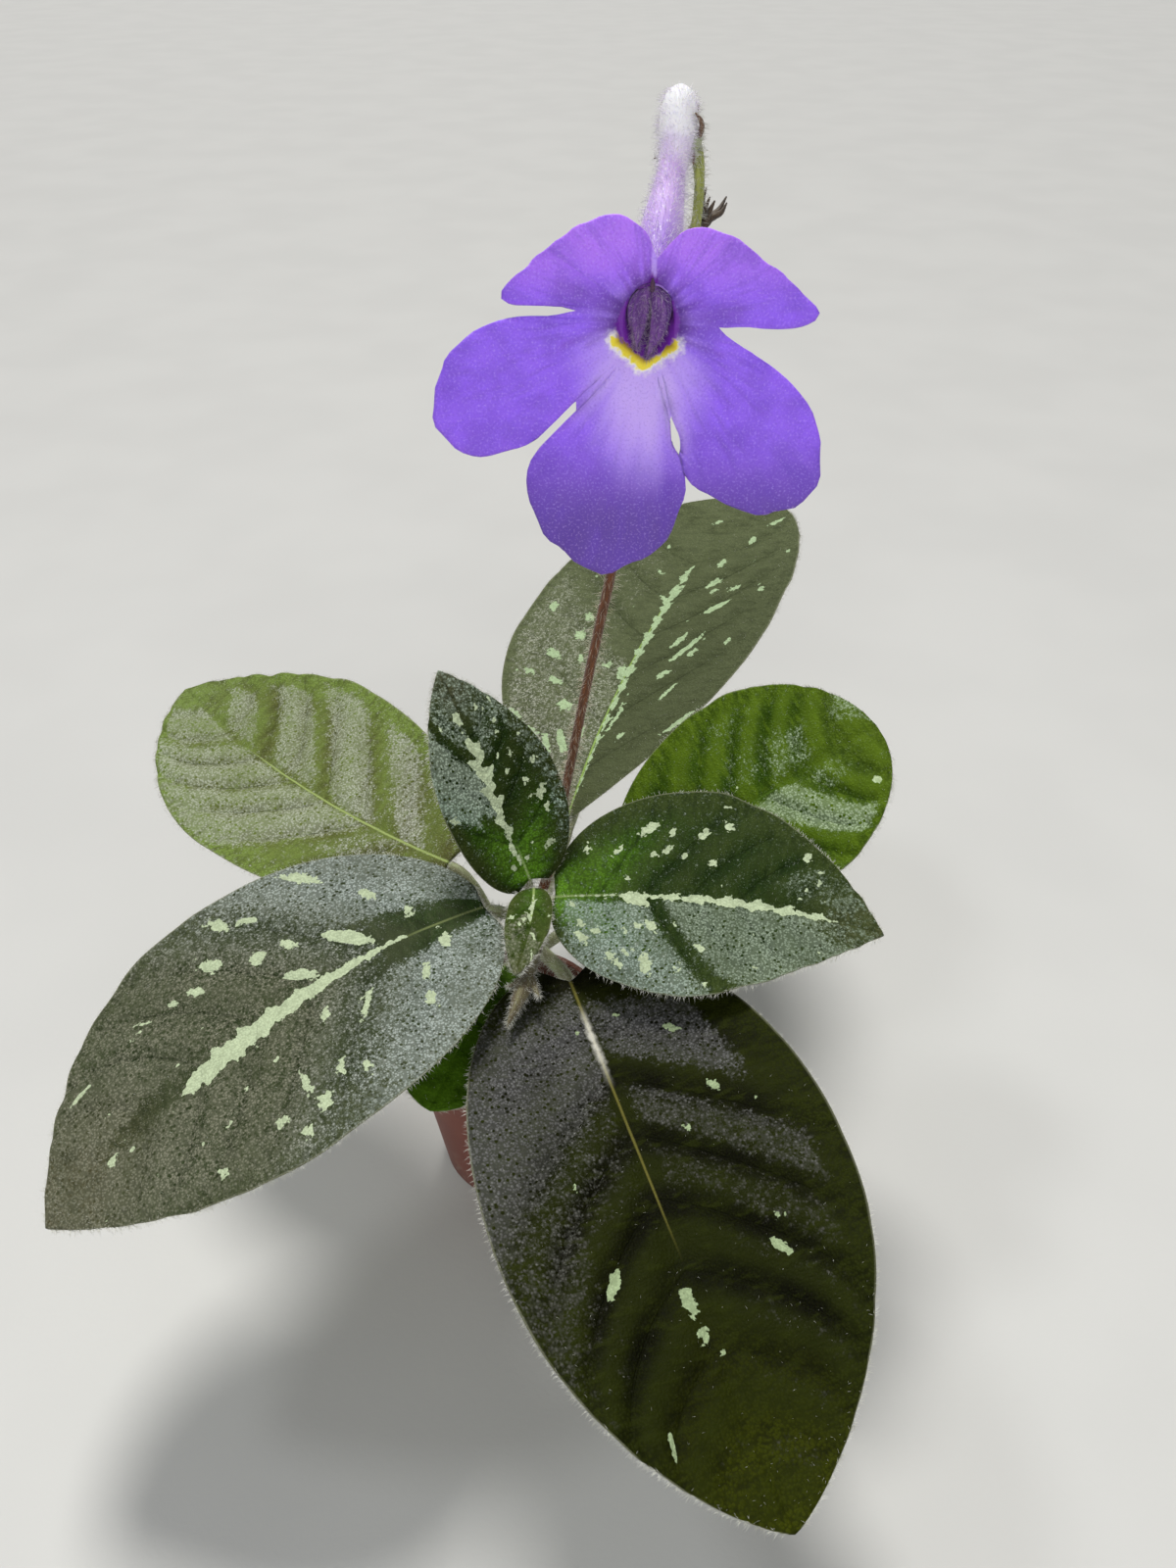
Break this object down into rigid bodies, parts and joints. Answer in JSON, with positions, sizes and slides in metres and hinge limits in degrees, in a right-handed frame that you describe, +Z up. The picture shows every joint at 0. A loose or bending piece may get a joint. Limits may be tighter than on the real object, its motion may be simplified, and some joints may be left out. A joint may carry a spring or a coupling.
{
  "type": "potted gesneriad",
  "caption": "Small potted house plant with quilted, silver-speckled hairy leaves and a violet flower on a long stalk, in a round nursery pot.",
  "frame": {"origin": "centre of the pot's underside, on the surface that the pot stands on", "axes": "+Z up, -Y towards the plant's front, +X to its right as seen from the front"},
  "size_m": [0.2046, 0.3049, 0.2813],
  "materials": {
    "pot_plastic": "matte",
    "soil_mix": "matte",
    "stem_skin": "matte",
    "leaf_left_skin": "satin",
    "leaf_front_skin": "satin",
    "leaf_right_skin": "satin",
    "leaf_young_skin": "satin",
    "leaf_back_skin": "satin",
    "leaf_left_back_skin": "satin",
    "leaf_right_back_skin": "satin",
    "leaf_crown_skin": "satin",
    "leaf_low_skin": "satin",
    "peduncle_skin": "satin",
    "pedicel_skin": "satin",
    "calyx_skin": "matte",
    "corolla_skin": "satin",
    "anther_skin": "matte",
    "pistil_skin": "satin",
    "withered_skin": "matte",
    "bud_skin": "matte"
  },
  "bodies": {
    "root": {"pot": "pot_plastic", "soil": "soil_mix", "stem": "stem_skin", "leaf_left": "leaf_left_skin", "leaf_front": "leaf_front_skin", "leaf_right": "leaf_right_skin", "leaf_young": "leaf_young_skin", "leaf_back": "leaf_back_skin", "leaf_left_back": "leaf_left_back_skin", "leaf_right_back": "leaf_right_back_skin", "leaf_crown": "leaf_crown_skin", "leaf_low": "leaf_low_skin", "peduncle": "peduncle_skin", "pedicel": "pedicel_skin", "calyx": "calyx_skin", "corolla": "corolla_skin", "stamens": "anther_skin", "pistil": "pistil_skin", "withered_calyx": "withered_skin", "young_bud": "bud_skin"}
  },
  "joints": []
}
